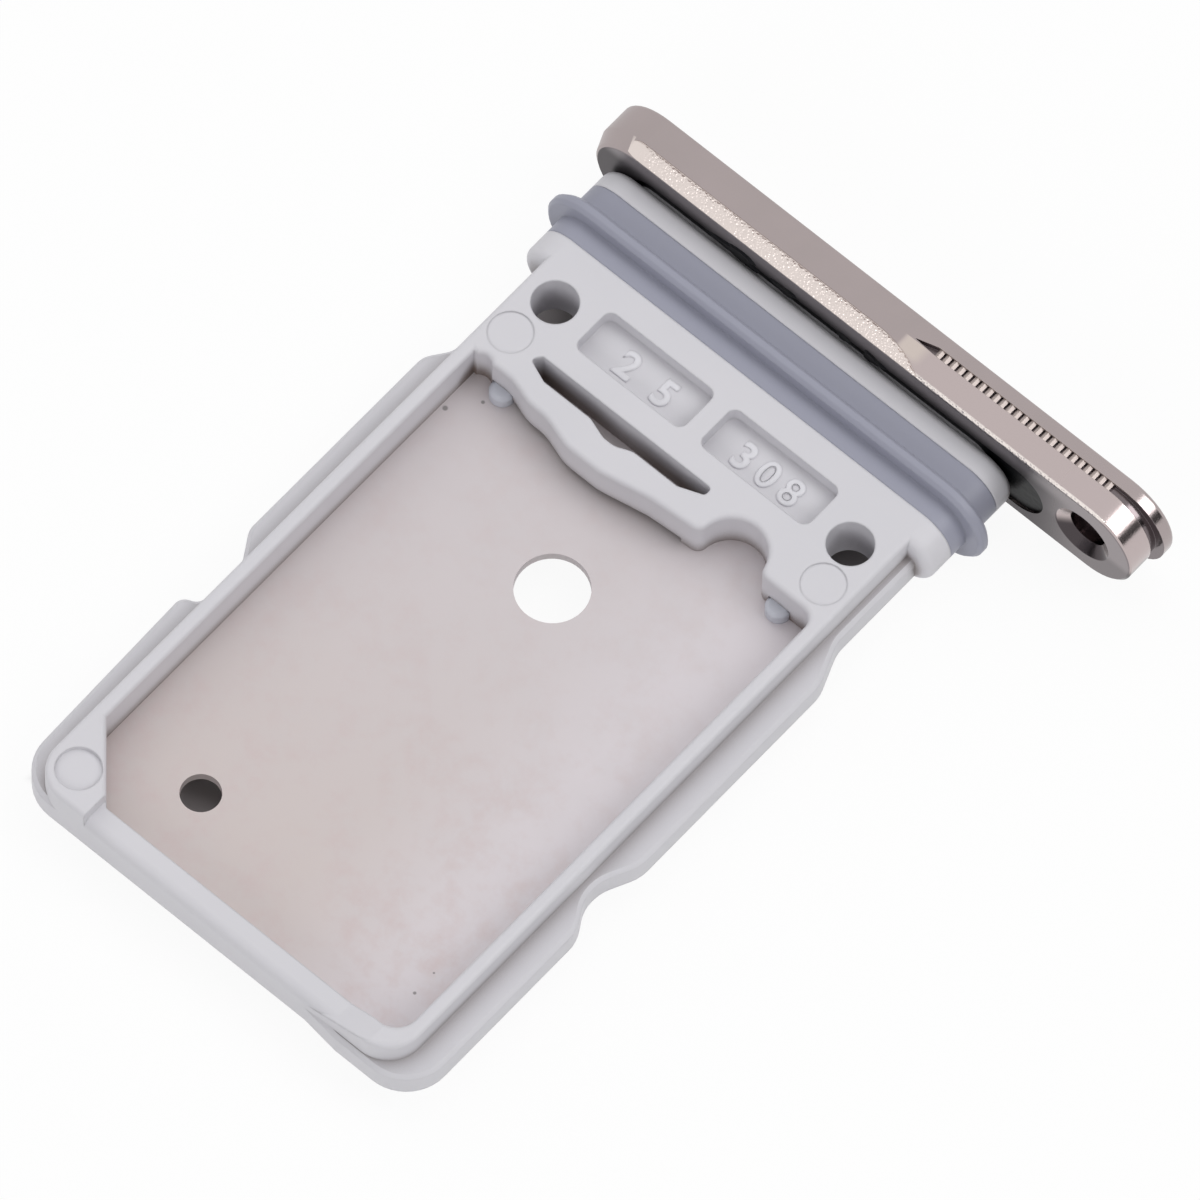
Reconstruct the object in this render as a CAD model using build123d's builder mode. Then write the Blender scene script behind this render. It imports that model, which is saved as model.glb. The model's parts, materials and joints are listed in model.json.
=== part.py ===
import os
from build123d import *

# Sim card tray: a moulded frame on a thin steel plate, glued into an aluminium door.
# Millimetres. The origin is the middle of the card pocket, on the plate's top face.
# +X points to the ejector pin's end of the door, +Y out of the phone, +Z to the card's side.

# Card pocket, for a nano card of 12.30 x 8.80 x 0.67
pocket_length = 12.38
pocket_width = 9.10
pocket_corner_radius = 0.50
corner_relief_radius = 0.28
pocket_edge_radius = 0.12
key_leg_x = 1.30
key_leg_y = 1.45
key_block_length = 1.18

# Moulded walls, guide ledge and rails: heights over the plate, widths in plan
wall_height = 1.00
side_wall_width = 0.31
far_wall_width = 0.54
far_rim_height = 0.72
far_rim_ramp = 0.90
far_rim_end = 0.35
far_rim_edge_radius = 0.22
far_corner_radius = 1.02
wall_edge_radius = 0.10
ledge_height = 0.38
ledge_width = 0.21
ledge_edge = 0.09
rail_width = 0.38
rail_blend_radius = 0.90
left_ramp_radius = 0.50
rail_step_radius = 0.25
left_rail_taper = 0.13
corner_wrap = 0.11
corner_wrap_length = 1.00
corner_wrap_ramp = 0.90

# Rail ends along each side, from the door's end: start, ramp, end, ramp, second start, ramp
right_rails = (5.56, 0.95, 0.10, 0.80, -1.82, 0.62)
left_rails = (5.84, 0.52, 0.56, 0.62, -1.50, 0.16)

# Steel plate
plate_thickness = 0.22
plate_bite = 0.25
plate_tongue = 1.25
plate_corner_radius = 0.45
plate_bevel = 0.12
large_hole_radius = 0.79
large_hole_place = (-0.11, 3.74)
small_hole_radius = 0.43
small_hole_place = (-2.31, -4.41)

# Tray head, then the stadium shaped mouth with flange, seal groove and collar
head_length = 2.70
mouth_length = 10.90
mouth_height = 1.50
flange_width = 0.67
seal_width = 1.40
collar_width = 0.55
flange_edge_radius = 0.20
collar_edge_radius = 0.20
weld = 0.30
pick = 0.01

# Spring arm at the pocket's head, with the slot behind it; places along X, sizes from the head edge
arm_bulge = 0.23
arm_bulge_start = -2.45
arm_crest_start = -1.75
arm_crest_end = -0.85
arm_bulge_end = 0.30
arm_root_step = 0.155
arm_blend_radius = 1.20
alcove_depth = 0.19
alcove_start = -3.50
alcove_blend = 0.55
alcove_corner_radius = 0.30
slot_start = -3.56
slot_start_slant = 0.16
slot_end = 1.12
slot_back = 0.99
slot_front = 0.56
slot_front_at_ends = 0.78
slot_dip = 0.16
slot_dip_start = -1.75
slot_dip_low_start = -1.28
slot_dip_low_end = -0.98
slot_dip_end = -0.62
slot_end_radius = 0.09
slot_dip_radius = 0.45
arm_lift = 0.17

# Thumb notch beside the arm
notch_radius = 0.74
notch_center = 2.33
notch_depth = 0.95
notch_shoulder_radius = 0.22

# Marks of the mould in the head and the key block, placed from the head edge
mark_radius = 0.48
mark_depth = 0.03
left_mark_place = (-4.26, 0.97)
right_mark_place = (4.22, 0.85)
key_mark_depth = 0.08
key_mark_inset = (0.39, 0.19)
core_pin_radius = 0.50
left_core_pin_place = (-4.04, 2.08)
right_core_pin_place = (4.03, 1.89)
panel_length = 2.88
panel_width = 1.12
panel_depth = 0.36
panel_corner_radius = 0.20
panel_gap = 0.45
panel_offset = 2.13

# Silicone seal and card grips
seal_thickness = 0.40
lip_width = 0.30
lip_height = 0.39
lip_place = 0.47
lip_edge = 0.08
grip_radius = 0.28
grip_height = 0.31
grip_edge = 0.08
grip_spacing = 7.40
grip_shift = -0.07
grip_offset = 0.18

# Door
door_length = 14.68
door_height = 2.31
door_thickness = 1.16
door_shift = 1.36
door_lift = 0.345
door_edge = 0.06
door_end_draft = 0.18
door_draft_width = 0.42
door_face_edge_radius = 0.10
strip_width = 0.40
strip_depth = 0.04
strip_start = -5.15
strip_start_radius = 0.30
strip_end = 2.81
strip_run_out = 1.41
groove_inset = 0.63
groove_width = 0.20
groove_depth = 0.14
groove_end_depth = 0.22
groove_start = 2.70
groove_lead = 0.53
groove_lead_offset = 0.04
pin_hole_radius = 0.45
pin_hole_end_distance = 1.47
funnel_radius = 0.71
funnel_angle = 110

# Glued joint between the tray's tenon and the door
bed_height = 1.40
bed_depth = 0.45
bed_lift = 0.185
bed_start = -4.90
bed_end = 6.20
tenon_length = 9.40
tenon_height = 0.80
tenon_end_gap = 0.10
glue_sink = 0.06

# Places that follow from the sizes
half_pocket_x = pocket_width / 2
half_pocket_y = pocket_length / 2
half_wall_x = half_pocket_x + side_wall_width
half_ledge_x = half_wall_x + ledge_width
half_rail_x = half_ledge_x + rail_width
far_wall_y = -half_pocket_y - far_wall_width
flange_y = half_pocket_y + head_length
seal_y = flange_y + flange_width
collar_y = seal_y + seal_width
door_y = collar_y + collar_width
mouth_z = wall_height - mouth_height / 2
door_z = mouth_z + door_lift
bed_z = mouth_z + bed_lift
core_length = mouth_length - 2 * seal_thickness
core_height = mouth_height - 2 * seal_thickness
plate_width = pocket_width + 2 * plate_bite
plate_front = -half_pocket_y - plate_bite
plate_back = half_pocket_y + plate_tongue
door_end_x = door_shift + door_length / 2
door_top = door_z + door_height / 2
wrap_x = half_rail_x - far_corner_radius - corner_wrap_length


def across(y):
    """Upright plane at a distance along the tray, seen from the pocket."""
    return Plane.XZ.offset(-y)


def from_head(place):
    """Point given by its X place and its distance from the pocket's head edge."""
    return (place[0], half_pocket_y + place[1])


def rail_side(sign, rails):
    """Corner points of one side of the ledge and its two rails, down to the far corner."""
    first, first_ramp, end, end_ramp, second, second_ramp = rails
    inner = sign * half_ledge_x
    outer = sign * half_rail_x
    return [
        (inner, flange_y + weld),
        (inner, first + first_ramp),
        (outer, first),
        (outer, end),
        (inner, end - end_ramp),
        (inner, second + second_ramp),
        (outer, second),
    ]


# Steel plate under the pocket; its edges run into the moulding, which grips them by the bevel below
with BuildPart() as plate_blank:
    with BuildSketch(Plane.XY.offset(-plate_thickness)):
        with Locations((0, (plate_front + plate_back) / 2)):
            RectangleRounded(plate_width, plate_back - plate_front, plate_corner_radius)
    extrude(amount=plate_thickness)
    chamfer(plate_blank.edges().group_by(Axis.Z)[0], plate_bevel)

with BuildPart() as card_plate:
    add(plate_blank.part)
    with BuildSketch(Plane.XY.offset(-plate_thickness)):
        with Locations(large_hole_place):
            Circle(large_hole_radius)
        with Locations(small_hole_place):
            Circle(small_hole_radius)
    extrude(amount=plate_thickness, mode=Mode.SUBTRACT)
card_plate.part.label = "card_plate"

# Guide rails and ledge, flush with the plate's underside
with BuildPart() as ledge_slab:
    with BuildSketch(Plane.XY.offset(-plate_thickness)) as ledge_plan:
        with BuildLine():
            Polyline(
                *rail_side(1, right_rails),
                (half_rail_x, far_wall_y - corner_wrap),
                (wrap_x, far_wall_y - corner_wrap),
                (wrap_x - corner_wrap_ramp, far_wall_y),
                (left_rail_taper - half_rail_x, far_wall_y),
                *reversed(rail_side(-1, left_rails)),
                close=True,
            )
        make_face()
        corners = ledge_plan.vertices().filter_by_position(Axis.Y, far_wall_y - corner_wrap, far_wall_y)
        fillet([corners.sort_by(Axis.X)[0], corners.sort_by(Axis.X)[-1]], far_corner_radius)
        corners = ledge_plan.vertices().filter_by_position(Axis.X, wrap_x - corner_wrap_ramp, wrap_x)
        fillet(corners, rail_blend_radius)
        corners = ledge_plan.vertices().filter_by_position(Axis.Y, -half_pocket_y / 2, flange_y - weld)
        fillet(corners.filter_by_position(Axis.X, 0, 2 * half_rail_x), rail_blend_radius)
        corners = ledge_plan.vertices().filter_by_position(Axis.X, -2 * half_rail_x, 0)
        fillet(corners.filter_by_position(Axis.Y, 0, flange_y - weld), left_ramp_radius)
        corners = ledge_plan.vertices().filter_by_position(Axis.X, -2 * half_rail_x, 0)
        fillet(corners.filter_by_position(Axis.Y, -half_pocket_y / 2, 0), rail_step_radius)
    extrude(amount=plate_thickness + ledge_height)
    chamfer(ledge_slab.edges().group_by(Axis.Z)[-1], ledge_edge)

# Walls and head, before the pocket is cut
with BuildPart() as wall_slab:
    with BuildSketch() as wall_plan:
        with Locations((0, (far_wall_y + flange_y + weld) / 2)):
            Rectangle(2 * half_wall_x, flange_y + weld - far_wall_y)
        fillet(wall_plan.vertices().group_by(Axis.Y)[0], far_corner_radius - ledge_width)
    extrude(amount=wall_height)
    wall_top = wall_slab.edges().group_by(Axis.Z)[-1]
    fillet(wall_top.filter_by_position(Axis.Y, far_wall_y, flange_y), wall_edge_radius)

# Stadium shaped mouth that carries the seal and ends in the door's tenon
with BuildPart() as mouth:
    with BuildSketch(across(flange_y)):
        with Locations((0, mouth_z)):
            SlotOverall(mouth_length, mouth_height)
    extrude(amount=-flange_width)
    fillet(mouth.edges().group_by(Axis.Y)[0], flange_edge_radius)
    with BuildSketch(across(seal_y)):
        with Locations((0, mouth_z)):
            SlotOverall(core_length, core_height)
    extrude(amount=-seal_width)
    with BuildSketch(across(collar_y)):
        with Locations((0, mouth_z)):
            SlotOverall(mouth_length, mouth_height)
    extrude(amount=-collar_width)
    fillet(mouth.edges().group_by(Axis.Y)[-1], collar_edge_radius)
    with BuildSketch(across(door_y)):
        with Locations((0, bed_z)):
            SlotOverall(tenon_length, tenon_height)
    extrude(amount=-(bed_depth - tenon_end_gap))

# Moulded frame in one piece
with BuildPart() as tray_frame:
    add(ledge_slab.part)
    add(wall_slab.part)
    add(mouth.part)
    # Bed of the steel plate
    add(plate_blank.part, mode=Mode.SUBTRACT)
    # Card pocket, with the key corner left standing and the arm bulging in at the head
    with BuildSketch() as pocket_plan:
        with BuildLine():
            Polyline(
                (-half_pocket_x, -half_pocket_y + key_leg_y),
                (-half_pocket_x + key_leg_x, -half_pocket_y),
                (half_pocket_x, -half_pocket_y),
                from_head((half_pocket_x, alcove_depth)),
                from_head((notch_center, alcove_depth)),
                from_head((notch_center, arm_root_step)),
                from_head((arm_bulge_end, 0)),
                from_head((arm_crest_end, -arm_bulge)),
                from_head((arm_crest_start, -arm_bulge)),
                from_head((arm_bulge_start, 0)),
                from_head((alcove_start + alcove_blend, 0)),
                from_head((alcove_start, alcove_depth)),
                from_head((-half_pocket_x, alcove_depth)),
                close=True,
            )
        make_face()
        corners = pocket_plan.vertices().group_by(Axis.Y)[0]
        fillet(corners.sort_by(Axis.X)[-1:], pocket_corner_radius)
        corners = pocket_plan.vertices().filter_by_position(Axis.Y, 0, flange_y)
        fillet(corners.sort_by(Axis.X)[-1:], alcove_corner_radius)
        corners = pocket_plan.vertices().filter_by_position(Axis.Y, 0, flange_y)
        fillet(corners.filter_by_position(Axis.X, alcove_start - pick, arm_bulge_end + pick), arm_blend_radius)
        with Locations(from_head((notch_center, notch_depth - notch_radius))):
            Circle(notch_radius)
        corners = pocket_plan.vertices().filter_by_position(Axis.Y, half_pocket_y, flange_y)
        corners = corners.filter_by_position(Axis.X, notch_center - notch_radius, notch_center + notch_radius)
        fillet(corners, notch_shoulder_radius)
        with Locations(from_head((corner_relief_radius - half_pocket_x, 0))):
            Circle(corner_relief_radius)
    extrude(amount=wall_height + weld, mode=Mode.SUBTRACT)
    upper_edges = tray_frame.edges().filter_by_position(Axis.Z, wall_height - pick, wall_height + pick)
    upper_edges = upper_edges.filter_by_position(Axis.X, -half_pocket_x - pick, half_pocket_x + pick)
    upper_edges = upper_edges.filter_by_position(Axis.Y, -half_pocket_y - pick, flange_y)
    fillet(upper_edges, pocket_edge_radius)
    # Far rim, lower than the walls and the key block
    rim_start = -half_pocket_x + key_block_length
    rim_end = half_pocket_x - far_rim_end
    with BuildSketch(across(far_wall_y - weld)):
        with BuildLine():
            Polyline(
                (rim_start, far_rim_height),
                (rim_end - far_rim_ramp, far_rim_height),
                (rim_end, wall_height),
                (rim_end, wall_height + weld),
                (rim_start, wall_height + weld),
                close=True,
            )
        make_face()
    extrude(amount=-(far_wall_width + weld + pocket_corner_radius), mode=Mode.SUBTRACT)
    rim_edges = tray_frame.edges().filter_by_position(Axis.Z, far_rim_height - pick, far_rim_height + pick)
    fillet(rim_edges.filter_by_position(Axis.Y, far_wall_y - pick, far_wall_y + pick), far_rim_edge_radius)
    # Slot that frees the spring arm, and the gap under the arm
    with BuildSketch() as arm_slot:
        with BuildLine():
            Polyline(
                from_head((slot_start, slot_front_at_ends)),
                from_head((slot_start + slot_front, slot_front)),
                from_head((slot_dip_start, slot_front)),
                from_head((slot_dip_low_start, slot_front - slot_dip)),
                from_head((slot_dip_low_end, slot_front - slot_dip)),
                from_head((slot_dip_end, slot_front)),
                from_head((slot_end - slot_front, slot_front)),
                from_head((slot_end, slot_front_at_ends)),
                from_head((slot_end, slot_back)),
                from_head((slot_start + slot_start_slant, slot_back)),
                close=True,
            )
        make_face()
        slot_corners = arm_slot.vertices().sort_by(Axis.X)
        fillet([*slot_corners[:2], *slot_corners[-2:]], slot_end_radius)
        dip_corners = arm_slot.vertices().filter_by_position(Axis.X, slot_dip_start, slot_dip_end)
        fillet(dip_corners, slot_dip_radius)
    extrude(amount=wall_height + weld, mode=Mode.SUBTRACT)
    with BuildSketch():
        with Locations(((slot_start + slot_end) / 2, half_pocket_y + (slot_front - arm_bulge) / 2)):
            Rectangle(slot_end - slot_start, slot_front + arm_bulge)
    extrude(amount=arm_lift, mode=Mode.SUBTRACT)
    # Two shallow panels, the round marks and the core pin holes
    with BuildSketch(Plane.XY.offset(wall_height - panel_depth)):
        with Locations(from_head((0, panel_offset))):
            with GridLocations(panel_length + panel_gap, 0, 2, 1):
                RectangleRounded(panel_length, panel_width, panel_corner_radius)
    extrude(amount=panel_depth + weld, mode=Mode.SUBTRACT)
    with BuildSketch(Plane.XY.offset(wall_height - mark_depth)):
        with Locations(from_head(left_mark_place), from_head(right_mark_place)):
            Circle(mark_radius)
    extrude(amount=mark_depth + weld, mode=Mode.SUBTRACT)
    with BuildSketch(Plane.XY.offset(wall_height - key_mark_depth)):
        with Locations((-half_pocket_x + key_mark_inset[0], -half_pocket_y + key_mark_inset[1])):
            Circle(mark_radius)
    extrude(amount=key_mark_depth + weld, mode=Mode.SUBTRACT)
    with BuildSketch(Plane.XY.offset(-plate_thickness)):
        with Locations(from_head(left_core_pin_place), from_head(right_core_pin_place)):
            Circle(core_pin_radius)
    extrude(amount=plate_thickness + wall_height, mode=Mode.SUBTRACT)
    # Seats of the card grips
    with BuildSketch():
        with Locations(from_head((grip_shift, grip_offset))):
            with GridLocations(grip_spacing, 0, 2, 1):
                Circle(grip_radius)
    extrude(amount=grip_height, mode=Mode.SUBTRACT)
tray_frame.part.label = "tray_frame"


def card_grip(side, label):
    """Silicone nub that stands on the plate, half under the head."""
    with BuildPart() as grip:
        with BuildSketch():
            with Locations(from_head((grip_shift + side * grip_spacing / 2, grip_offset))):
                Circle(grip_radius)
        extrude(amount=grip_height)
        chamfer(grip.edges().group_by(Axis.Z)[-1], grip_edge)
    grip.part.label = label
    return grip


card_grip_left = card_grip(-1, "card_grip_left")
card_grip_right = card_grip(1, "card_grip_right")

# Silicone seal in its groove, with one raised lip
with BuildPart() as seal_ring:
    with BuildSketch(across(seal_y)):
        with Locations((0, mouth_z)):
            SlotOverall(mouth_length, mouth_height)
    extrude(amount=-seal_width)
    with BuildSketch(across(seal_y + lip_place)):
        with Locations((0, mouth_z)):
            SlotOverall(mouth_length + 2 * lip_height, mouth_height + 2 * lip_height)
    extrude(amount=-lip_width)
    lip_edges = seal_ring.edges().filter_by_position(Axis.Y, seal_y + lip_place, seal_y + lip_place + lip_width)
    chamfer(lip_edges.filter_by(lambda edge: edge.bounding_box().size.Z > mouth_height + lip_height), lip_edge)
    with BuildSketch(across(seal_y)):
        with Locations((0, mouth_z)):
            SlotOverall(core_length, core_height)
    extrude(amount=-seal_width, mode=Mode.SUBTRACT)
seal_ring.part.label = "seal_ring"

# Door bar
with BuildPart() as end_cap:
    with BuildSketch(across(door_y)):
        with Locations((door_shift, door_z)):
            SlotOverall(door_length - 2 * door_end_draft, door_height)
    with BuildSketch(across(door_y + door_draft_width)):
        with Locations((door_shift, door_z)):
            SlotOverall(door_length, door_height)
    loft()
    with BuildSketch(across(door_y + door_draft_width)):
        with Locations((door_shift, door_z)):
            SlotOverall(door_length, door_height)
    extrude(amount=-(door_thickness - door_draft_width))
    chamfer(end_cap.edges().group_by(Axis.Y)[0], door_edge)
    fillet(end_cap.edges().group_by(Axis.Y)[-1], door_face_edge_radius)
    # Behind the groove the ejector's end stays as narrow as the back
    with BuildSketch(across(door_y)):
        with Locations((door_shift, door_z)):
            SlotOverall(door_length + 2 * weld, door_height + 2 * weld)
            SlotOverall(door_length - 2 * door_end_draft, door_height, mode=Mode.SUBTRACT)
        with Locations((door_end_x - door_end_draft, door_z)):
            Rectangle(door_height, door_height + 2 * weld, mode=Mode.INTERSECT)
    extrude(amount=-groove_inset, mode=Mode.SUBTRACT)
    # Groove round the ejector's end
    with BuildSketch(across(door_y + groove_inset)):
        with Locations((door_shift, door_z)):
            SlotOverall(door_length + 2 * weld, door_height + 2 * weld)
            SlotOverall(door_length - 2 * groove_end_depth, door_height - 2 * groove_depth, mode=Mode.SUBTRACT)
        with Locations(((groove_start + door_end_x) / 2 + weld, door_z)):
            Rectangle(door_end_x - groove_start + 2 * weld, door_height + 2 * weld, mode=Mode.INTERSECT)
    extrude(amount=-groove_width, mode=Mode.SUBTRACT)
    # Pointed start of the groove
    with BuildSketch(Plane.XY.offset(door_top - groove_depth)):
        with BuildLine():
            Polyline(
                (groove_start - groove_lead, door_y + groove_inset + groove_lead_offset),
                (groove_start, door_y + groove_inset),
                (groove_start, door_y + groove_inset + groove_width),
                close=True,
            )
        make_face()
    extrude(amount=groove_depth, mode=Mode.SUBTRACT)
    # Coarse strip along the back edge, which runs out in an arc
    with BuildSketch(Plane.XY.offset(door_top - strip_depth)) as strip_plan:
        with BuildLine():
            strip_back = door_y + strip_width
            Polyline(
                (strip_end, door_y),
                (strip_start, door_y),
                (strip_start, strip_back),
                (strip_end - strip_run_out, strip_back),
            )
            TangentArc((strip_end - strip_run_out, strip_back), (strip_end, door_y), tangent=(1, 0))
        make_face()
        fillet(strip_plan.vertices().sort_by(Axis.X)[:2].sort_by(Axis.Y)[-1], strip_start_radius)
    extrude(amount=strip_depth, mode=Mode.SUBTRACT)
    # Bed for the tenon and the glue
    with BuildSketch(across(door_y)):
        with Locations(((bed_start + bed_end) / 2, bed_z)):
            SlotOverall(bed_end - bed_start, bed_height)
    extrude(amount=-bed_depth, mode=Mode.SUBTRACT)
    # Ejector pin hole, widened at the back
    with Locations(across(door_y) * Location((door_end_x - pin_hole_end_distance, door_z, 0))):
        CounterSinkHole(pin_hole_radius, funnel_radius, counter_sink_angle=funnel_angle)
end_cap.part.label = "end_cap"

# Glue round the tenon
with BuildPart() as cap_adhesive:
    with BuildSketch(across(door_y + glue_sink)):
        with Locations(((bed_start + bed_end) / 2, bed_z)):
            SlotOverall(bed_end - bed_start, bed_height)
    extrude(amount=-(bed_depth - glue_sink))
    with BuildSketch(across(door_y)):
        with Locations((0, bed_z)):
            SlotOverall(tenon_length, tenon_height)
    extrude(amount=-(bed_depth - tenon_end_gap), mode=Mode.SUBTRACT)
cap_adhesive.part.label = "cap_adhesive"

pieces = [tray_frame, card_plate, card_grip_left, card_grip_right, seal_ring, end_cap, cap_adhesive]
os.makedirs("parts", exist_ok=True)
for piece in pieces:
    export_step(piece.part, f"parts/{piece.part.label}.step")
    print(piece.part.label, len(piece.part.solids()), round(piece.part.volume, 3))
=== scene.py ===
import json
import math
import random

import bmesh
import bpy
from mathutils import Matrix, Quaternion, Vector

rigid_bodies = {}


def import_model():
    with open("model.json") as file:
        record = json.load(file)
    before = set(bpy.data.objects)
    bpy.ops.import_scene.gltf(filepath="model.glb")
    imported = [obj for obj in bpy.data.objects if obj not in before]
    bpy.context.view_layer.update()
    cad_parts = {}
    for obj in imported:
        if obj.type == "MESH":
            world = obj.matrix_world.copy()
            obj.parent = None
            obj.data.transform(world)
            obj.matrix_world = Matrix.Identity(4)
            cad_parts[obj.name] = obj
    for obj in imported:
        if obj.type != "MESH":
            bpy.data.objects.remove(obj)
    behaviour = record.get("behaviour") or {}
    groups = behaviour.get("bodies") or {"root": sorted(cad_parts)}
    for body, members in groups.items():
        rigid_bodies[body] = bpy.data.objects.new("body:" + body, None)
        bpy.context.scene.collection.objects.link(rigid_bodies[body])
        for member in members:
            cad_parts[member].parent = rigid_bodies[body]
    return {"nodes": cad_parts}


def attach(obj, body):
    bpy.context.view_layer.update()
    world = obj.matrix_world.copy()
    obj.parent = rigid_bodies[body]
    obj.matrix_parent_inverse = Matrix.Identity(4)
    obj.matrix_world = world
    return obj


# Sim card tray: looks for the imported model. Lengths in the dictionaries are millimetres.
mm = 0.001
edgeSamples = 6  # rays that round each edge in the shading

for leftover in list(bpy.data.objects):
    bpy.data.objects.remove(leftover)
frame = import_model()
bpy.context.view_layer.update()
print("frame loaded:", sorted(frame["nodes"]))


def linear(hexColour):
    # sRGB hex to linear colour
    parts = [int(hexColour[i:i + 2], 16) / 255 for i in (1, 3, 5)]
    return (*[p / 12.92 if p <= 0.04045 else ((p + 0.055) / 1.055) ** 2.4 for p in parts], 1.0)


def addNode(tree, kind, settings=None, links=None):
    # adds a node, sets its options, then fills its inputs with sockets or values
    node = tree.nodes.new(kind)
    for name, value in (settings or {}).items():
        setattr(node, name, value)
    for socket, source in (links or {}).items():
        if isinstance(source, bpy.types.NodeSocket):
            tree.links.new(source, node.inputs[socket])
        else:
            node.inputs[socket].default_value = source
    return node


def newMaterial(name):
    # empty node material with a Principled surface and its object coordinates
    material = bpy.data.materials.new(name)
    material.use_nodes = True
    tree = material.node_tree
    tree.nodes.clear()
    surface = addNode(tree, "ShaderNodeBsdfPrincipled")
    addNode(tree, "ShaderNodeOutputMaterial", None, {"Surface": surface.outputs["BSDF"]})
    place = addNode(tree, "ShaderNodeTexCoord").outputs["Object"]
    return material, tree, surface, place


def joinMesh(name, bm):
    # bmesh to a finished object at the origin
    mesh = bpy.data.meshes.new(name)
    bmesh.ops.recalc_face_normals(bm, faces=bm.faces)
    bm.to_mesh(mesh)
    bm.free()
    piece = bpy.data.objects.new(name, mesh)
    bpy.context.scene.collection.objects.link(piece)
    return piece


# Frame plastic
plastic = {
    "colour": "#D1CFD4",
    "shade": "#CBCACF",
    "driftSize": 2.5,
    # colour of the raised figures: the plastic painted paler, a painted highlight
    "raised": "#DAD9DE",
    # colour of the painted shade in the creases
    "paintedCreaseShade": "#65564F",
    "creaseReach": 0.65,
    "creaseSamples": 8,
    "creaseOpen": (0.30, 0.95),  # share of open air where the painted shade is full, and where it ends
    "creaseHeight": (0.74, 0.15),  # heights where the painted shade starts, and where it is full
    "grainSize": 0.035,
    "grainDepth": 0.0012,
    "edgeRadius": 0.07,
    "roughness": 0.48,
    "ior": 1.58,
}


def mouldedPolycarbonate(name, main, drifted):
    # injection moulded polycarbonate from a spark eroded mould: even, cool light grey with a fine matt grain
    material, tree, surface, place = newMaterial(name)
    axes = addNode(tree, "ShaderNodeSeparateXYZ", None, {"Vector": place})
    drift = addNode(tree, "ShaderNodeTexNoise", None, {
        "Vector": place, "Scale": 1 / (plastic["driftSize"] * mm), "Detail": 2.0})
    colour = addNode(tree, "ShaderNodeMix", {"data_type": "RGBA"}, {
        0: drift.outputs["Fac"], 6: linear(main), 7: linear(drifted)})
    # painted shade: a dark brown laid into the creases, where little open air reaches, and only low down: at
    # the foot of the walls and inside the pin holes
    opened = addNode(tree, "ShaderNodeAmbientOcclusion", {"samples": plastic["creaseSamples"]}, {
        "Distance": plastic["creaseReach"] * mm})
    closed, clear = plastic["creaseOpen"]
    creased = addNode(tree, "ShaderNodeMapRange", {"interpolation_type": "SMOOTHSTEP"}, {
        "Value": opened.outputs["AO"], "From Min": closed, "From Max": clear, "To Min": 1.0, "To Max": 0.0})
    high, foot = plastic["creaseHeight"]
    low = addNode(tree, "ShaderNodeMapRange", {"interpolation_type": "SMOOTHSTEP"}, {
        "Value": axes.outputs["Z"], "From Min": high * mm, "From Max": foot * mm})
    paintedShade = addNode(tree, "ShaderNodeMath", {"operation": "MULTIPLY"}, {
        0: creased.outputs[0], 1: low.outputs[0]})
    creaseShaded = addNode(tree, "ShaderNodeMix", {"data_type": "RGBA"}, {
        0: paintedShade.outputs[0], 6: colour.outputs[2], 7: linear(plastic["paintedCreaseShade"])})
    grain = addNode(tree, "ShaderNodeTexNoise", None, {
        "Vector": place, "Scale": 1 / (plastic["grainSize"] * mm), "Detail": 3.0})
    edge = addNode(tree, "ShaderNodeBevel", {"samples": edgeSamples}, {
        "Radius": plastic["edgeRadius"] * mm})
    bump = addNode(tree, "ShaderNodeBump", None, {
        "Height": grain.outputs["Fac"], "Distance": plastic["grainDepth"] * mm,
        "Strength": 1.0, "Normal": edge.outputs["Normal"]})
    tree.links.new(creaseShaded.outputs[2], surface.inputs["Base Color"])
    tree.links.new(bump.outputs["Normal"], surface.inputs["Normal"])
    surface.inputs["Roughness"].default_value = plastic["roughness"]
    surface.inputs["IOR"].default_value = plastic["ior"]
    return material


# Steel plate
steel = {
    "colour": "#CBC4C6",
    "worn": "#C8BEBC",
    "wornEnds": (5.0, -6.0),  # from the head end, where it is new, to the far end
    # by the right wall: the plate's own less pink tone, painted lighter as well against the wall's shade
    "bright": "#D2CCD0",
    "brightSides": (0.0, 4.4),
    "haze": "#C5C0C1",
    "hazeLevels": (0.4, 0.65),
    "hazeShare": 0.22,
    "stain": "#C7B5B5",
    "stainSize": 1.6,
    "blotchSize": 0.45,
    "blotchLevels": (0.22, 0.42),
    "stainShares": (0.2, 0.55),  # at the head end and at the far end
    "speck": "#7E7A7A",
    "speckShare": 0.8,
    "speckFade": 2.2,  # a speck is gone at this many times its radius
    "specks": [(-4.44, 5.38, 0.035), (-3.96, 5.99, 0.025), (3.85, -4.91, 0.022), (3.84, -4.32, 0.015)],
    "grainSize": 0.05,
    "grainDepth": 0.0008,
    "metallic": 0.5,
    "roughness": 0.6,
}


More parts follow.
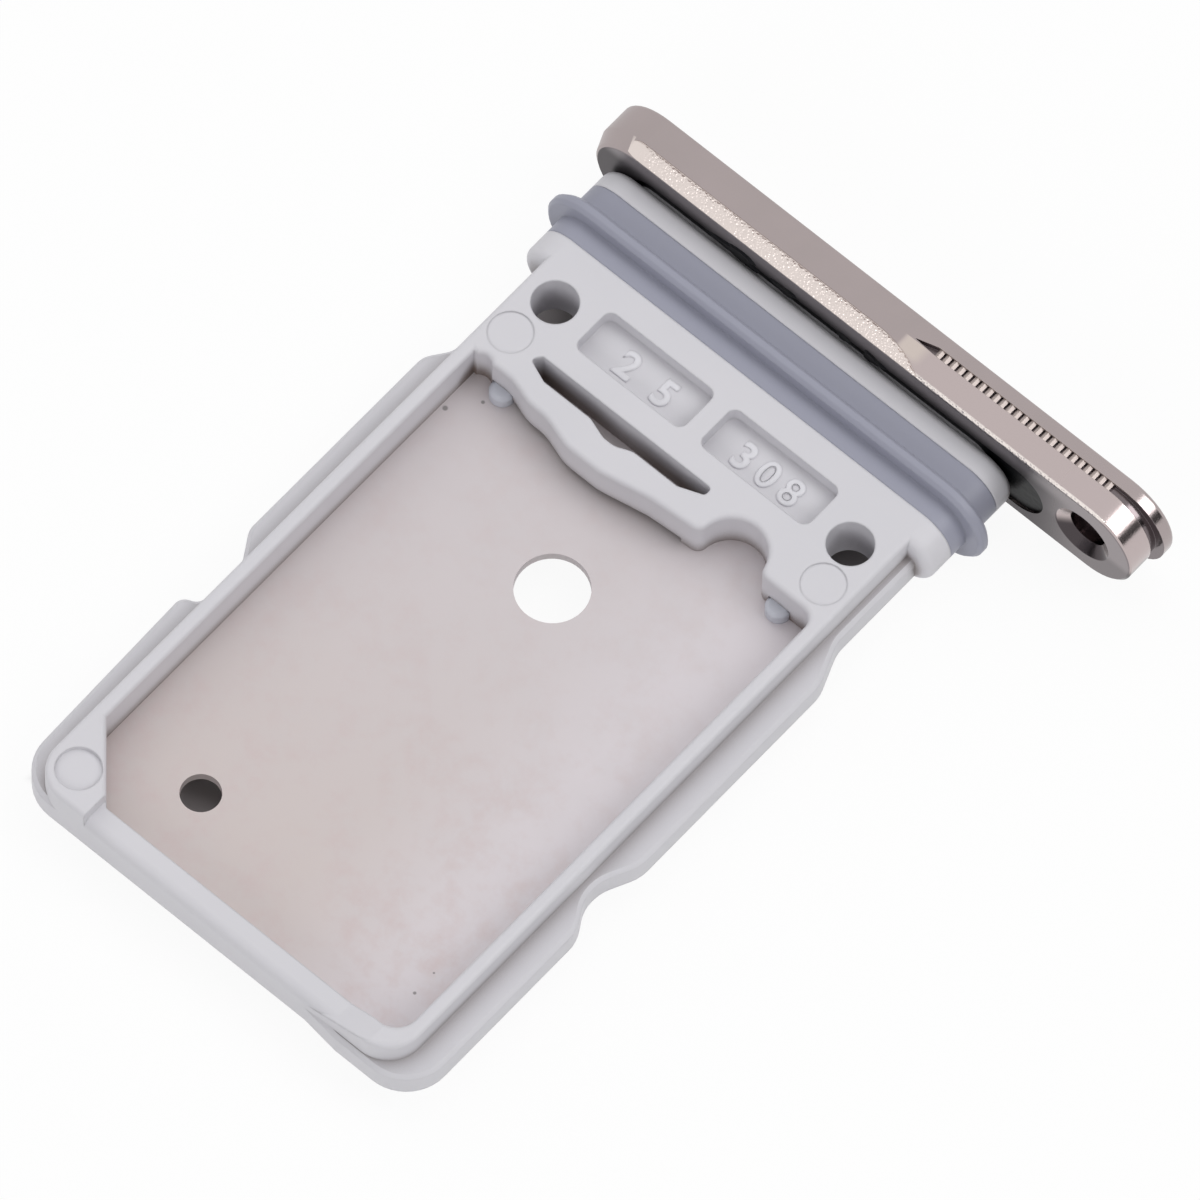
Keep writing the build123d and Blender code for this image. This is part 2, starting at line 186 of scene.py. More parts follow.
def sheetSteel():
    # cold rolled stainless sheet, blasted matt: pale grey, pinker where heat and glue have stained it
    material, tree, surface, place = newMaterial("sheetSteel")
    axes = addNode(tree, "ShaderNodeSeparateXYZ", None, {"Vector": place})
    newEnd, wornEnd = steel["wornEnds"]
    worn = addNode(tree, "ShaderNodeMapRange", {"interpolation_type": "SMOOTHSTEP"}, {
        "Value": axes.outputs["Y"], "From Min": newEnd * mm, "From Max": wornEnd * mm})
    wide = addNode(tree, "ShaderNodeTexNoise", None, {
        "Vector": place, "Scale": 1 / (steel["stainSize"] * mm), "Detail": 4.0, "Roughness": 0.6})
    small = addNode(tree, "ShaderNodeTexNoise", None, {
        "Vector": place, "Scale": 1 / (steel["blotchSize"] * mm), "Detail": 3.0, "Roughness": 0.65})
    blotches = addNode(tree, "ShaderNodeMath", {"operation": "MULTIPLY"}, {
        0: wide.outputs["Fac"], 1: small.outputs["Fac"]})
    faint, strong = steel["blotchLevels"]
    stained = addNode(tree, "ShaderNodeMapRange", None, {
        "Value": blotches.outputs[0], "From Min": faint, "From Max": strong})
    leastStain, mostStain = steel["stainShares"]
    amount = addNode(tree, "ShaderNodeMapRange", None, {
        "Value": worn.outputs[0], "To Min": leastStain, "To Max": mostStain})
    stainShare = addNode(tree, "ShaderNodeMath", {"operation": "MULTIPLY"}, {
        0: stained.outputs[0], 1: amount.outputs[0]})
    thin, thick = steel["hazeLevels"]
    hazed = addNode(tree, "ShaderNodeMapRange", None, {
        "Value": wide.outputs["Fac"], "From Min": thin, "From Max": thick, "To Max": steel["hazeShare"]})
    clean = addNode(tree, "ShaderNodeMix", {"data_type": "RGBA"}, {
        0: worn.outputs[0], 6: linear(steel["colour"]), 7: linear(steel["worn"])})
    # towards the right wall the plate is less pink, its own tone, and painted lighter, a painted light
    # against the wall's shade
    dullSide, brightSide = steel["brightSides"]
    litSide = addNode(tree, "ShaderNodeMapRange", {"interpolation_type": "SMOOTHSTEP"}, {
        "Value": axes.outputs["X"], "From Min": dullSide * mm, "From Max": brightSide * mm})
    litSideColour = addNode(tree, "ShaderNodeMix", {"data_type": "RGBA"}, {
        0: litSide.outputs[0], 6: clean.outputs[2], 7: linear(steel["bright"])})
    base = addNode(tree, "ShaderNodeMix", {"data_type": "RGBA"}, {
        0: hazed.outputs[0], 6: litSideColour.outputs[2], 7: linear(steel["haze"])})
    colour = addNode(tree, "ShaderNodeMix", {"data_type": "RGBA"}, {
        0: stainShare.outputs[0], 6: base.outputs[2], 7: linear(steel["stain"])})
    for x, y, radius in steel["specks"]:
        away = addNode(tree, "ShaderNodeVectorMath", {"operation": "DISTANCE"}, {
            0: place, 1: (x * mm, y * mm, 0.0)})
        dot = addNode(tree, "ShaderNodeMapRange", {"interpolation_type": "SMOOTHSTEP"}, {
            "Value": away.outputs["Value"],
            "From Min": radius * mm, "From Max": steel["speckFade"] * radius * mm,
            "To Min": steel["speckShare"], "To Max": 0.0})
        colour = addNode(tree, "ShaderNodeMix", {"data_type": "RGBA"}, {
            0: dot.outputs[0], 6: colour.outputs[2], 7: linear(steel["speck"])})
    grain = addNode(tree, "ShaderNodeTexNoise", None, {
        "Vector": place, "Scale": 1 / (steel["grainSize"] * mm), "Detail": 2.0})
    bump = addNode(tree, "ShaderNodeBump", None, {
        "Height": grain.outputs["Fac"], "Distance": steel["grainDepth"] * mm, "Strength": 1.0})
    tree.links.new(colour.outputs[2], surface.inputs["Base Color"])
    tree.links.new(bump.outputs["Normal"], surface.inputs["Normal"])
    # not fully metallic: a film of glue haze lies on it, and scatters the light
    surface.inputs["Metallic"].default_value = steel["metallic"]
    surface.inputs["Roughness"].default_value = steel["roughness"]
    return material


# Seal and card grips
silicone = {
    "colour": "#9798A6",
    "gripColour": "#BEC0C9",
    "gripBorder": (8.2, 8.0),
    "grainSize": 0.06,
    "grainDepth": 0.001,
    "edgeRadius": 0.07,
    "roughness": 0.42,
    "ior": 1.41,
}


def mouldedSilicone():
    # compression moulded silicone: blue grey, soft broad sheen
    material, tree, surface, place = newMaterial("mouldedSilicone")
    grain = addNode(tree, "ShaderNodeTexNoise", None, {
        "Vector": place, "Scale": 1 / (silicone["grainSize"] * mm), "Detail": 2.0})
    edge = addNode(tree, "ShaderNodeBevel", {"samples": edgeSamples}, {
        "Radius": silicone["edgeRadius"] * mm})
    bump = addNode(tree, "ShaderNodeBump", None, {
        "Height": grain.outputs["Fac"], "Distance": silicone["grainDepth"] * mm,
        "Strength": 1.0, "Normal": edge.outputs["Normal"]})
    # the small grips, on the pocket's side of the seal, are paler: thinner rubber on pale plastic
    axes = addNode(tree, "ShaderNodeSeparateXYZ", None, {"Vector": place})
    sealSide, gripSide = silicone["gripBorder"]
    atGrips = addNode(tree, "ShaderNodeMapRange", None, {
        "Value": axes.outputs["Y"], "From Min": sealSide * mm, "From Max": gripSide * mm})
    colour = addNode(tree, "ShaderNodeMix", {"data_type": "RGBA"}, {
        0: atGrips.outputs[0], 6: linear(silicone["colour"]), 7: linear(silicone["gripColour"])})
    tree.links.new(colour.outputs[2], surface.inputs["Base Color"])
    tree.links.new(bump.outputs["Normal"], surface.inputs["Normal"])
    surface.inputs["Roughness"].default_value = silicone["roughness"]
    surface.inputs["IOR"].default_value = silicone["ior"]
    return material


# Door: each area's bounds say, along an axis, where its colour starts and where it is full
door = {
    "colour": "#AEA2A2",
    "drift": "#A59B9A",
    "driftSize": 1.2,
    "areas": [
        # painted highlight: the layer right of the groove's start, lighter as a slight tilt would make it
        ("inner layer painted lighter", "#BDB0AF", [("Y", 12.145, 12.135), ("X", 1.95, 2.05)]),
        # painted highlight: a light triangle where the groove starts
        ("painted highlight at the groove start", "#CDC1BA", [
            ("Y", 12.145, 12.135), ("X", 1.95, 2.10), ("X", 2.70, 2.40), ("Y", 11.62, 11.85)]),
        ("cutter strip", "#E0D5D0", [
            ("Z", 1.700, 1.705), ("Z", 1.722, 1.714),
            ("Y", 11.925, 11.912), ("X", -5.2, -5.0), ("X", 2.9, 2.8)]),
        # painted highlight: a bright line on the chamfer of the back's top edge
        ("painted edge highlight", "#F2E9E4", [("Y", 11.60, 11.56), ("Z", 1.65, 1.70), ("X", 2.4, 2.9)]),
        # painted shade: the back face darker, as the dark reflection it shows
        ("back", "#8B8587", [("Y", 11.530, 11.518)]),
        # painted shade: the back darkest low down by the collar
        ("painted shade on the back by the collar", "#4A4548", [("Y", 11.530, 11.518), ("Z", 1.55, 1.10)]),
        # painted shade as on the rest of the back, without the deeper painted shade by the collar
        ("painted back shade by the pin hole", "#8C8486", [("Y", 11.530, 11.518), ("X", 5.9, 7.3)]),
        # painted shade: the bottom of the pin hole's funnel, darker as a dark reflection
        ("painted shade at the foot of the pin hole", "#4E484A", [
            ("Y", 11.505, 11.515), ("Y", 12.13, 12.0), ("X", 5.9, 6.0), ("Z", 0.62, 0.3)]),
        # painted shade: the groove darker, as deep grooves are
        ("painted shade in the groove", "#766D6F", [
            ("Y", 12.130, 12.140), ("Y", 12.350, 12.340), ("X", 2.1, 2.2), ("Z", 1.72, 1.66)]),
        ("polished ribs", "#BDB2AE", [
            ("Y", 12.130, 12.140), ("Y", 12.350, 12.340), ("X", 2.65, 2.7), ("Z", 1.68, 1.71)]),
    ],
    "blastSize": 0.03,
    "blastDepth": 0.0010,
    "millSize": 0.055,
    "millDepth": 0.022,
    "smoothEnd": (-4.93, -4.53),
    "edgeRadius": 0.02,
    "rubbedEnd": (5.8, 7.2),
    "rubbedRoughness": (0.36, 0.17),
    "stripRoughness": 0.28,
    "ribRoughness": 0.55,
}


def anodisedAluminium():
    # milled, bead blasted and anodised champagne grey: satin, with a bright coarse strip, a back painted
    # darker as painted shade, and more painted shade and highlights in its areas
    material, tree, surface, place = newMaterial("anodisedAluminium")
    axes = addNode(tree, "ShaderNodeSeparateXYZ", None, {"Vector": place})
    drift = addNode(tree, "ShaderNodeTexNoise", None, {
        "Vector": place, "Scale": 1 / (door["driftSize"] * mm), "Detail": 3.0})
    layer = addNode(tree, "ShaderNodeMix", {"data_type": "RGBA"}, {
        0: drift.outputs["Fac"], 6: linear(door["colour"]), 7: linear(door["drift"])})
    shares = {}
    for name, hexColour, bounds in door["areas"]:
        share = 1.0
        for axis, start, end in bounds:
            border = addNode(tree, "ShaderNodeMapRange", {"interpolation_type": "SMOOTHSTEP"}, {
                "Value": axes.outputs[axis], "From Min": start * mm, "From Max": end * mm})
            share = addNode(tree, "ShaderNodeMath", {"operation": "MULTIPLY"}, {
                0: share, 1: border.outputs[0]}).outputs[0]
        layer = addNode(tree, "ShaderNodeMix", {"data_type": "RGBA"}, {
            0: share, 6: layer.outputs[2], 7: linear(hexColour)})
        shares[name] = share
    blast = addNode(tree, "ShaderNodeTexNoise", None, {
        "Vector": place, "Scale": 1 / (door["blastSize"] * mm), "Detail": 2.0})
    cuts = addNode(tree, "ShaderNodeTexVoronoi", None, {
        "Vector": place, "Scale": 1 / (door["millSize"] * mm)})
    # the strip's left end was cut smooth, and the painted highlight on the back edge's chamfer is as coarse
    # as the strip
    smoothTo, coarseFrom = door["smoothEnd"]
    pastSmooth = addNode(tree, "ShaderNodeMapRange", {"interpolation_type": "SMOOTHSTEP"}, {
        "Value": axes.outputs["X"], "From Min": smoothTo * mm, "From Max": coarseFrom * mm})
    coarse = addNode(tree, "ShaderNodeMath", {"operation": "MULTIPLY_ADD"}, {
        0: shares["cutter strip"], 1: pastSmooth.outputs[0], 2: shares["painted edge highlight"]})
    milled = addNode(tree, "ShaderNodeMath", {"operation": "MULTIPLY"}, {
        0: cuts.outputs["Distance"], 1: coarse.outputs[0]})
    edge = addNode(tree, "ShaderNodeBevel", {"samples": edgeSamples}, {
        "Radius": door["edgeRadius"] * mm})
    fine = addNode(tree, "ShaderNodeBump", None, {
        "Height": blast.outputs["Fac"], "Distance": door["blastDepth"] * mm,
        "Strength": 1.0, "Normal": edge.outputs["Normal"]})
    rugged = addNode(tree, "ShaderNodeBump", None, {
        "Height": milled.outputs[0], "Distance": door["millDepth"] * mm,
        "Strength": 1.0, "Normal": fine.outputs["Normal"]})
    # the rounded end by the pin hole is polished by handling
    satinTo, rubbedFrom = door["rubbedEnd"]
    satin, polished = door["rubbedRoughness"]
    rubbedOrLit = addNode(tree, "ShaderNodeMapRange", {"interpolation_type": "SMOOTHSTEP"}, {
        "Value": axes.outputs["X"], "From Min": satinTo * mm, "From Max": rubbedFrom * mm,
        "To Min": satin, "To Max": polished})
    cut = addNode(tree, "ShaderNodeMix", {"data_type": "FLOAT"}, {
        0: shares["cutter strip"], 2: rubbedOrLit.outputs[0], 3: door["stripRoughness"]})
    rough = addNode(tree, "ShaderNodeMix", {"data_type": "FLOAT"}, {
        0: shares["polished ribs"], 2: cut.outputs[0], 3: door["ribRoughness"]})
    tree.links.new(layer.outputs[2], surface.inputs["Base Color"])
    tree.links.new(rough.outputs[0], surface.inputs["Roughness"])
    tree.links.new(rugged.outputs["Normal"], surface.inputs["Normal"])
    surface.inputs["Metallic"].default_value = 1.0
    return material


# Glue
glue = {
    "colour": "#08090B",
    "lumpSize": 0.2,
    "lumpDepth": 0.01,
    "roughness": 0.4,
    "ior": 1.45,
    "gloss": 0.2,
}


def curedGlue():
    # black two part glue, cured: dark with a dull wet sheen
    material, tree, surface, place = newMaterial("curedGlue")
    lumps = addNode(tree, "ShaderNodeTexNoise", None, {
        "Vector": place, "Scale": 1 / (glue["lumpSize"] * mm)})
    bump = addNode(tree, "ShaderNodeBump", None, {
        "Height": lumps.outputs["Fac"], "Distance": glue["lumpDepth"] * mm, "Strength": 1.0})
    tree.links.new(bump.outputs["Normal"], surface.inputs["Normal"])
    surface.inputs["Base Color"].default_value = linear(glue["colour"])
    surface.inputs["Roughness"].default_value = glue["roughness"]
    surface.inputs["IOR"].default_value = glue["ior"]
    surface.inputs["Specular IOR Level"].default_value = glue["gloss"]
    return material


finishes = {
    "tray_frame": mouldedPolycarbonate("mouldedPolycarbonate", plastic["colour"], plastic["shade"]),
    "card_plate": sheetSteel(),
    "seal_ring": mouldedSilicone(),
    "end_cap": anodisedAluminium(),
    "cap_adhesive": curedGlue(),
}
finishes["card_grip_left"] = finishes["card_grip_right"] = finishes["seal_ring"]
for name, node in frame["nodes"].items():
    node.material_slots[0].material = finishes[name]
print("finishes set")


# Ribs across the door's groove
ribs = {
    "count": 25,
    "pitch": 0.187,
    "firstX": 2.78,
    "middleY": 12.24,
    "floorZ": 1.61,
    "width": 0.14,
    "length": 0.20,
    "height": 0.128,
    "slope": -0.6,  # height gained for each unit away from the rib's middle line
    "corners": (5, 3, 2),  # across, along and up
}


def makeRibs():
    # one ridged rib, repeated along the groove by a small node tree
    tree = bpy.data.node_groups.new("grooveRibs", "GeometryNodeTree")
    inputs = {
        "Count": "Int",
        "Pitch": "Float",
        "Start": "Vector",
        "Size": "Vector",
        "Slope": "Float",
        "Finish": "Material",
    }
    for name, kind in inputs.items():
        tree.interface.new_socket(name=name, in_out="INPUT", socket_type="NodeSocket" + kind)
    tree.interface.new_socket(name="Geometry", in_out="OUTPUT", socket_type="NodeSocketGeometry")
    given = addNode(tree, "NodeGroupInput")
    step = addNode(tree, "ShaderNodeCombineXYZ", None, {"X": given.outputs["Pitch"]})
    line = addNode(tree, "GeometryNodeMeshLine", {"mode": "OFFSET", "count_mode": "TOTAL"}, {
        "Count": given.outputs["Count"], "Start Location": given.outputs["Start"],
        "Offset": step.outputs[0]})
    across, along, upwards = ribs["corners"]
    block = addNode(tree, "GeometryNodeMeshCube", None, {
        "Size": given.outputs["Size"],
        "Vertices X": across, "Vertices Y": along, "Vertices Z": upwards})
    place = addNode(tree, "GeometryNodeInputPosition")
    lift = addNode(tree, "ShaderNodeSeparateXYZ", None, {"Vector": place.outputs[0]})
    above = addNode(tree, "FunctionNodeCompare", {"data_type": "FLOAT", "operation": "GREATER_THAN"}, {
        0: lift.outputs["Z"], 1: 0.0})
    offMiddle = addNode(tree, "ShaderNodeMath", {"operation": "ABSOLUTE"}, {0: lift.outputs["X"]})
    sink = addNode(tree, "ShaderNodeMath", {"operation": "MULTIPLY"}, {
        0: offMiddle.outputs[0], 1: given.outputs["Slope"]})
    drop = addNode(tree, "ShaderNodeCombineXYZ", None, {"Z": sink.outputs[0]})
    crown = addNode(tree, "GeometryNodeSetPosition", None, {
        "Geometry": block.outputs["Mesh"], "Selection": above.outputs[0], "Offset": drop.outputs[0]})
    placed = addNode(tree, "GeometryNodeInstanceOnPoints", None, {
        "Points": line.outputs[0], "Instance": crown.outputs[0]})
    solid = addNode(tree, "GeometryNodeRealizeInstances", None, {0: placed.outputs[0]})
    painted = addNode(tree, "GeometryNodeSetMaterial", None, {
        0: solid.outputs[0], "Material": given.outputs["Finish"]})
    addNode(tree, "NodeGroupOutput", None, {0: painted.outputs[0]})
    piece = bpy.data.objects.new("grooveRibs", bpy.data.meshes.new("grooveRibs"))
    bpy.context.scene.collection.objects.link(piece)
    modifier = piece.modifiers.new("ribs", "NODES")
    modifier.node_group = tree
    middleZ = ribs["floorZ"] + ribs["height"] / 2
    sizes = {
        "Count": ribs["count"],
        "Pitch": ribs["pitch"] * mm,
        "Start": (ribs["firstX"] * mm, ribs["middleY"] * mm, middleZ * mm),
        "Size": (ribs["width"] * mm, ribs["length"] * mm, ribs["height"] * mm),
        "Slope": ribs["slope"],
        "Finish": finishes["end_cap"],
    }
    for socket in tree.interface.items_tree:
        if socket.in_out == "INPUT":
            modifier[socket.identifier] = sizes[socket.name]
    bpy.context.view_layer.update()
    seen = bpy.context.evaluated_depsgraph_get()
    made = bpy.data.meshes.new_from_object(piece.evaluated_get(seen))
    piece.modifiers.remove(modifier)
    piece.data = made
    made.name = "grooveRibs"
    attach(piece, "root")
    return piece


makeRibs()
print("groove ribs made")


# Plain numbers raised in the two panels
numbers = {
    "height": 0.62,
    "heightShare": 0.7,  # a figure's height as a share of the type's size
    "rise": 0.02,
    "round": 0.022,
    "roundSteps": 2,
    "curveSteps": 6,
    "bolder": 0.008,
    "floorZ": 0.64,
    "baseY": 8.01,
    "marks": [("2", -2.32), ("5", -1.35), ("3", 0.80), ("0", 1.42), ("8", 2.04)],
}


def makeNumbers():
    # raised by the mould, soft edged, in the plastic of the frame but painted paler: a painted highlight on
    # tops that stand out of the shaded panel floor
    bm = bmesh.new()
    for mark, x in numbers["marks"]:
        shape = bpy.data.curves.new("panelNumber", "FONT")
        shape.body = mark
        shape.size = numbers["height"] * mm / numbers["heightShare"]
        shape.extrude = numbers["rise"] * mm / 2
        shape.bevel_depth = numbers["round"] * mm
        shape.bevel_resolution = numbers["roundSteps"]
        shape.resolution_u = numbers["curveSteps"]
        shape.offset = numbers["bolder"] * mm
        holder = bpy.data.objects.new("panelNumber", shape)
        bpy.context.scene.collection.objects.link(holder)
        bpy.context.view_layer.update()
        seen = bpy.context.evaluated_depsgraph_get()
        made = bpy.data.meshes.new_from_object(holder.evaluated_get(seen))
        made.transform(Matrix.Translation((x * mm, numbers["baseY"] * mm, numbers["floorZ"] * mm)))
        bm.from_mesh(made)
        bpy.data.objects.remove(holder)
        bpy.data.curves.remove(shape)
        bpy.data.meshes.remove(made)
    piece = joinMesh("panelNumbers", bm)
    # a paler copy of the frame's plastic: painted highlight on the raised figures
    rubbedOrLit = mouldedPolycarbonate("paintedLitPolycarbonate", plastic["raised"], plastic["raised"])
    piece.data.materials.append(rubbedOrLit)
    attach(piece, "root")
    return piece


makeNumbers()
print("panel numbers made")


# Glue pressed out above the collar
squeeze = {
    "backY": 11.51,
    "thickness": 0.03,
    "flatShare": 0.3,  # share of the way from rim to middle at which the blob turns flat
    "rimPoints": 28,
    "lobes": 3,
    "lobeDepth": 0.22,
    "unevenness": 0.1,
    "seed": 4,
    "spots": [  # middle along X and Z, then half the length and half the height
        (-2.0, 1.14, 0.68, 0.2), (-0.72, 1.12, 0.34, 0.13), (0.86, 1.08, 0.2, 0.1), (1.64, 1.1, 0.3, 0.17)],
}


def makeGlueSpots():
    # flat uneven blobs on the door's back, thin at the rim
    dice = random.Random(squeeze["seed"])
    bm = bmesh.new()
    turns = squeeze["rimPoints"]
    inwards = squeeze["flatShare"]
    for x, z, halfLength, halfHeight in squeeze["spots"]:
        rim = []
        for i in range(turns):
            angle = 2 * math.pi * i / turns
            lobe = squeeze["lobeDepth"] * math.sin(squeeze["lobes"] * angle + x)
            wobble = 1 + lobe + dice.uniform(-squeeze["unevenness"], squeeze["unevenness"])
            alongX = x + halfLength * wobble * math.cos(angle)
            upZ = z + halfHeight * wobble * math.sin(angle)
            rim.append(bm.verts.new((alongX * mm, squeeze["backY"] * mm, upZ * mm)))
        # the rim is drawn towards a point so far out that the flat part has the right thickness
        middle = Vector((x, squeeze["backY"] - squeeze["thickness"] / inwards, z)) * mm
        inner = [bm.verts.new(v.co.lerp(middle, inwards)) for v in rim]
        for i in range(turns):
            j = (i + 1) % turns
            bm.faces.new((rim[i], rim[j], inner[j], inner[i]))
        bm.faces.new(inner)
        bm.faces.new(list(reversed(rim)))
    piece = joinMesh("glueSpots", bm)
    piece.data.materials.append(finishes["cap_adhesive"])
    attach(piece, "root")
    return piece


makeGlueSpots()
print("glue spots made")


# Room: floor, dark card, air, lamps, camera
floorSheet = {
    "height": -0.905,
    "size": 3000.0,
    "colour": "#EDEDED",
    "roughness": 0.9,
    "whiteShare": 0.93,
    # painted shadow: the floor's colour under the tray
    "paintedShadowColour": "#A19C9D",
    "shadeSides": (-5.3, 4.6),
    "shadeEnds": (-6.0, 11.3),
    "shadeFade": 0.5,
    # painted patch of light: the floor glows white under the large hole
    "holeMiddle": (-0.41, 4.10),
    "holeRadius": 1.15,
}
darkCard = {"place": (177, 71, 55), "size": 64, "colour": "#1A1819", "roughness": 0.9}
air = {"light": 0.45, "frontLight": 0.30, "frontFade": (-0.6, 0.4)}
lamps = {
    "backRight": {"place": (290, 170, 330), "size": 240, "power": 0.6, "inGloss": True},
    "overheadBack": {"place": (-60, 170, 430), "size": 420, "power": 0.58, "inGloss": False},
    "frontLow": {"place": (80, -400, 230), "size": 240, "power": 0.7, "inGloss": False},
    "left": {"place": (-380, 60, 280), "size": 260, "power": 0.38, "inGloss": False},
}
photoCamera = {
    "target": (0.7783, 4.18, 0.0),
    "azimuth": 39.8,
    "elevation": 62.5,
    "roll": 1.7,
    "distance": 452.5,
    "lens": 675.0,
    "sensor": 36.0,
    "clip": (10, 10000),
}


def squareSheet(name, size, middle, turned):
    # a flat square about its middle, turned from level by a quaternion
    half = size / 2
    corners = [(-half, -half), (half, -half), (half, half), (-half, half)]
    bm = bmesh.new()
    bm.faces.new([bm.verts.new(middle + turned @ Vector((x, y, 0.0))) for x, y in corners])
    return joinMesh(name, bm)


def looksStraight(tree):
    # 1 for rays that look, straight, in a reflection or through something clear, and 0 for those that light
    path = addNode(tree, "ShaderNodeLightPath")
    looks = path.outputs["Is Camera Ray"]
    for other in ("Is Glossy Ray", "Is Transmission Ray"):
        looks = addNode(tree, "ShaderNodeMath", {"operation": "MAXIMUM"}, {
            0: looks, 1: path.outputs[other]}).outputs[0]
    return looks


def makeFloor():
    # pale floor that keeps the tray's shadow, and glows white only where it is looked at
    low = floorSheet["height"] * mm
    floor = squareSheet("floor", floorSheet["size"] * mm, Vector((0, 0, low)), Quaternion())
    if floor.data.polygons[0].normal.z < 0:
        floor.data.flip_normals()
    material, tree, surface, place = newMaterial("paleFloor")
    surface.inputs["Roughness"].default_value = floorSheet["roughness"]
    glow = addNode(tree, "ShaderNodeEmission", None, {"Color": (1, 1, 1, 1), "Strength": 1.0})
    # the floor glows white beside the tray and, as a painted patch of light, under the large hole; elsewhere
    # under the tray it gets no glow, stays in the tray's shade, and its colour is darker, a painted shadow
    axes = addNode(tree, "ShaderNodeSeparateXYZ", None, {"Vector": place})
    holeX, holeY = floorSheet["holeMiddle"]
    fromHole = addNode(tree, "ShaderNodeVectorMath", {"operation": "DISTANCE"}, {
        0: place, 1: (holeX * mm, holeY * mm, low)})
    fade = floorSheet["shadeFade"] / 2
    left, right = floorSheet["shadeSides"]
    front, back = floorSheet["shadeEnds"]
    radius = floorSheet["holeRadius"]
    borders = [
        (axes.outputs["X"], left + fade, left - fade),
        (axes.outputs["X"], right - fade, right + fade),
        (axes.outputs["Y"], front + fade, front - fade),
        (axes.outputs["Y"], back - fade, back + fade),
        (fromHole.outputs["Value"], radius + fade, radius),
    ]
    bright = 0.0
    for value, start, end in borders:
        border = addNode(tree, "ShaderNodeMapRange", {"interpolation_type": "SMOOTHSTEP"}, {
            "Value": value, "From Min": start * mm, "From Max": end * mm})
        bright = addNode(tree, "ShaderNodeMath", {"operation": "MAXIMUM"}, {
            0: bright, 1: border.outputs[0]}).outputs[0]
    colour = addNode(tree, "ShaderNodeMix", {"data_type": "RGBA"}, {
        0: bright, 6: linear(floorSheet["paintedShadowColour"]), 7: linear(floorSheet["colour"])})
    tree.links.new(colour.outputs[2], surface.inputs["Base Color"])
    share = looksStraight(tree)
    for factor in (bright, floorSheet["whiteShare"]):
        share = addNode(tree, "ShaderNodeMath", {"operation": "MULTIPLY"}, {
            0: share, 1: factor}).outputs[0]
    mixed = addNode(tree, "ShaderNodeMixShader", None, {
        0: share, 1: surface.outputs["BSDF"], 2: glow.outputs[0]})
    # clear when looked at from below, so that the tray's underside can be seen
    side = addNode(tree, "ShaderNodeNewGeometry")
    clear = addNode(tree, "ShaderNodeBsdfTransparent")
    oneSided = addNode(tree, "ShaderNodeMixShader", None, {
        0: side.outputs["Backfacing"], 1: mixed.outputs[0], 2: clear.outputs[0]})
    tree.links.new(oneSided.outputs[0], tree.nodes["Material Output"].inputs["Surface"])
    floor.data.materials.append(material)


def makeCard():
    # a dark card as set beside metal: only reflections see it, and it gives the door's end its contrast
    material, _, surface, _ = newMaterial("darkCard")
    surface.inputs["Base Color"].default_value = linear(darkCard["colour"])
    surface.inputs["Roughness"].default_value = darkCard["roughness"]
    middle = Vector(darkCard["place"]) * mm
    facing = (-middle).to_track_quat("Z", "Y")
    card = squareSheet("cardRight", darkCard["size"] * mm, middle, facing)
    card.data.materials.append(material)
    card.visible_camera = False
    card.visible_diffuse = False
    card.visible_transmission = False
    card.visible_shadow = False


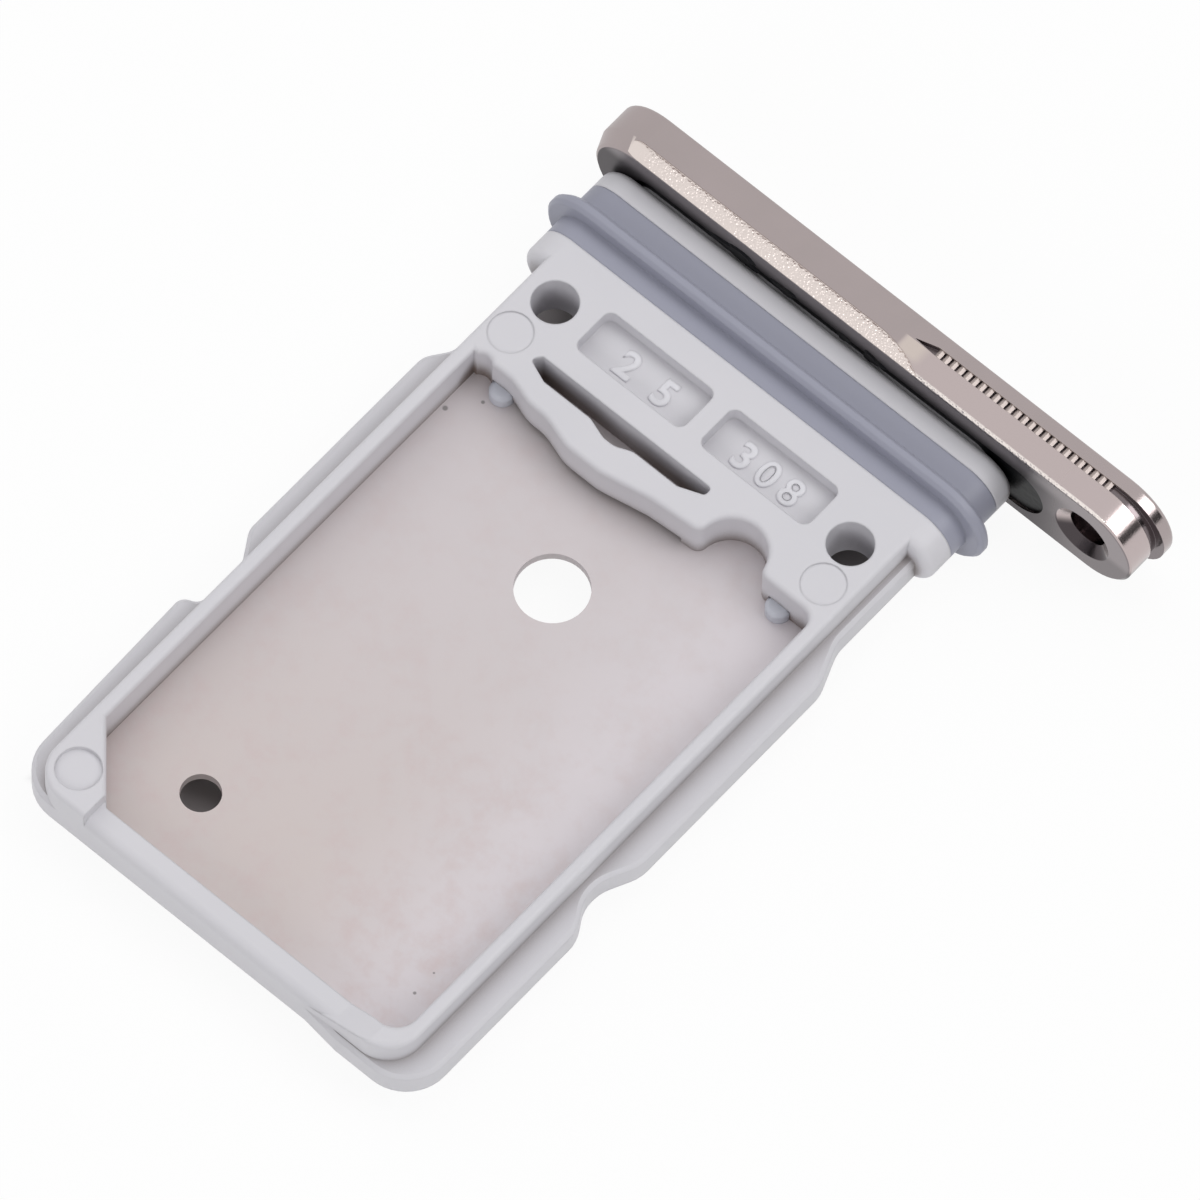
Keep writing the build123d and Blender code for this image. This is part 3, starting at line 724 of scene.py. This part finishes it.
def makeWorld():
    # pale air that is white to look at, and gives less light from the front
    world = bpy.data.worlds.new("paleRoom")
    bpy.context.scene.world = world
    world.use_nodes = True
    tree = world.node_tree
    tree.nodes.clear()
    sky = addNode(tree, "ShaderNodeTexCoord")
    direction = addNode(tree, "ShaderNodeSeparateXYZ", None, {"Vector": sky.outputs["Generated"]})
    frontMost, fadedOut = air["frontFade"]
    dimFront = addNode(tree, "ShaderNodeMapRange", {"interpolation_type": "SMOOTHSTEP"}, {
        "Value": direction.outputs["Y"], "From Min": frontMost, "From Max": fadedOut,
        "To Min": air["frontLight"], "To Max": air["light"]})
    strength = addNode(tree, "ShaderNodeMix", {"data_type": "FLOAT"}, {
        0: looksStraight(tree), 2: dimFront.outputs[0], 3: 1.0})
    backdrop = addNode(tree, "ShaderNodeBackground", None, {
        "Color": (1, 1, 1, 1), "Strength": strength.outputs[0]})
    addNode(tree, "ShaderNodeOutputWorld", None, {"Surface": backdrop.outputs[0]})


def makeLamps():
    # square lamps that face the tray; only those marked inGloss show in the metal
    for name, lamp in lamps.items():
        light = bpy.data.lights.new(name, "AREA")
        light.size = lamp["size"] * mm
        light.energy = lamp["power"]
        holder = bpy.data.objects.new(name, light)
        holder.visible_glossy = lamp["inGloss"]
        holder.location = [v * mm for v in lamp["place"]]
        holder.rotation_euler = Vector([-v for v in lamp["place"]]).to_track_quat("-Z", "Y").to_euler()
        bpy.context.scene.collection.objects.link(holder)


def makeCamera():
    # the photo's view: azimuth goes round from the front, and roll turns the picture
    azimuth, elevation, roll = (math.radians(photoCamera[k]) for k in ("azimuth", "elevation", "roll"))
    flat = math.cos(elevation)
    back = Vector((flat * math.sin(azimuth), -flat * math.cos(azimuth), math.sin(elevation)))
    right = (-back).cross(Vector((0, 0, 1))).normalized()
    up = right.cross(-back)
    sideways = math.cos(roll) * right + math.sin(roll) * up
    upward = -math.sin(roll) * right + math.cos(roll) * up
    lens = bpy.data.cameras.new("photoCamera")
    lens.lens = photoCamera["lens"]
    lens.sensor_width = photoCamera["sensor"]
    lens.clip_start, lens.clip_end = (v * mm for v in photoCamera["clip"])
    camera = bpy.data.objects.new("photoCamera", lens)
    turned = Matrix((sideways, upward, back)).transposed().to_4x4()
    place = (Vector(photoCamera["target"]) + back * photoCamera["distance"]) * mm
    camera.matrix_world = Matrix.Translation(place) @ turned
    bpy.context.scene.collection.objects.link(camera)
    bpy.context.scene.camera = camera


makeFloor()
makeCard()
makeWorld()
makeLamps()
makeCamera()
bpy.context.scene.view_settings.view_transform = "Standard"
print("room made")

bpy.context.view_layer.update()
